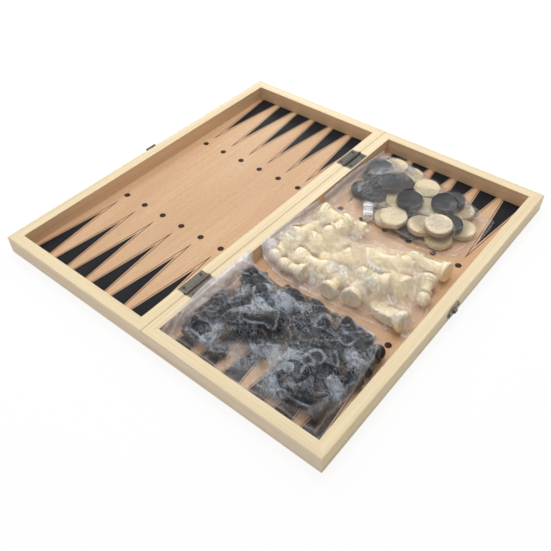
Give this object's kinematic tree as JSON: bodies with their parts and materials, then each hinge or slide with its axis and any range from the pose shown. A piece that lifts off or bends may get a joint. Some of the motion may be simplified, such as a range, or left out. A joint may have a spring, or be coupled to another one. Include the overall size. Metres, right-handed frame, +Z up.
{
  "type": "games compendium box",
  "caption": "Folding wooden backgammon, chess and draughts case lying open, with bagged turned chessmen, draughts and dice inside.",
  "frame": {"origin": "middle of the seam between the two open trays, at table height", "axes": "+X from the seam towards the tray that holds the pieces, +Y along the seam away from the viewer, +Z up"},
  "size_m": [0.3978, 0.39, 0.0368],
  "materials": {
    "rail_wood": "clear satin lacquer on pale straight-grained wood",
    "panel_wood": "clear satin lacquer on flecked beech",
    "point_ink": "flat black printing ink",
    "outline_ink": "flat dark brown printing ink",
    "square_ink": "flat black printing ink",
    "bronze": "antiqued pressed sheet, worn bright on its raised lines",
    "nail_bronze": "antiqued",
    "bag_film": "clear glossy film",
    "dice_plastic": "polished",
    "pip_paint": "flat paint",
    "pale_wood": "clear lacquer on pale boxwood",
    "black_wood": "black stain under gloss lacquer"
  },
  "bodies": {
    "play_tray": {"right_floor_panel": "panel_wood", "right_outer_rail": "rail_wood", "right_seam_rail": "rail_wood", "right_near_rail": "rail_wood", "right_far_rail": "rail_wood", "right_points": "point_ink", "right_outlines": "outline_ink", "right_chess_squares": "square_ink", "near_hinge_right_leaf": "bronze", "near_hinge_pin": "bronze", "far_hinge_right_leaf": "bronze", "far_hinge_pin": "bronze", "right_hinge_nails": "nail_bronze", "catch_plate": "bronze", "catch_nails": "nail_bronze", "pale_king": "pale_wood", "pale_queen": "pale_wood", "pale_bishops": "pale_wood", "pale_knights": "pale_wood", "pale_rooks": "pale_wood", "pale_pawns": "pale_wood", "black_king": "black_wood", "black_queen": "black_wood", "black_bishops": "black_wood", "black_knights": "black_wood", "black_rooks": "black_wood", "black_pawns": "black_wood", "pale_draughts": "pale_wood", "black_draughts": "black_wood", "dice": "dice_plastic", "dice_pips": "pip_paint", "draughts_bag": "bag_film", "pale_chessmen_bag": "bag_film", "black_chessmen_bag": "bag_film"},
    "lid_tray": {"left_floor_panel": "panel_wood", "left_outer_rail": "rail_wood", "left_seam_rail": "rail_wood", "left_near_rail": "rail_wood", "left_far_rail": "rail_wood", "left_points": "point_ink", "left_outlines": "outline_ink", "left_chess_squares": "square_ink", "near_hinge_left_leaf": "bronze", "far_hinge_left_leaf": "bronze", "left_hinge_nails": "nail_bronze", "hasp_plate": "bronze", "hasp_pin": "bronze", "hasp_nails": "nail_bronze"},
    "hasp": {"hasp_tongue": "bronze"}
  },
  "joints": [
    {"name": "fold", "type": "hinge", "parent": "play_tray", "child": "lid_tray", "pos_m": [0, 0, 0.02015], "axis": [0, 1, 0], "range_deg": [0, 180]},
    {"name": "hasp_swing", "type": "hinge", "parent": "lid_tray", "child": "hasp", "pos_m": [-0.1974, 0.002, 0.0182], "axis": [0, 1, 0], "range_deg": [0, 180]}
  ]
}
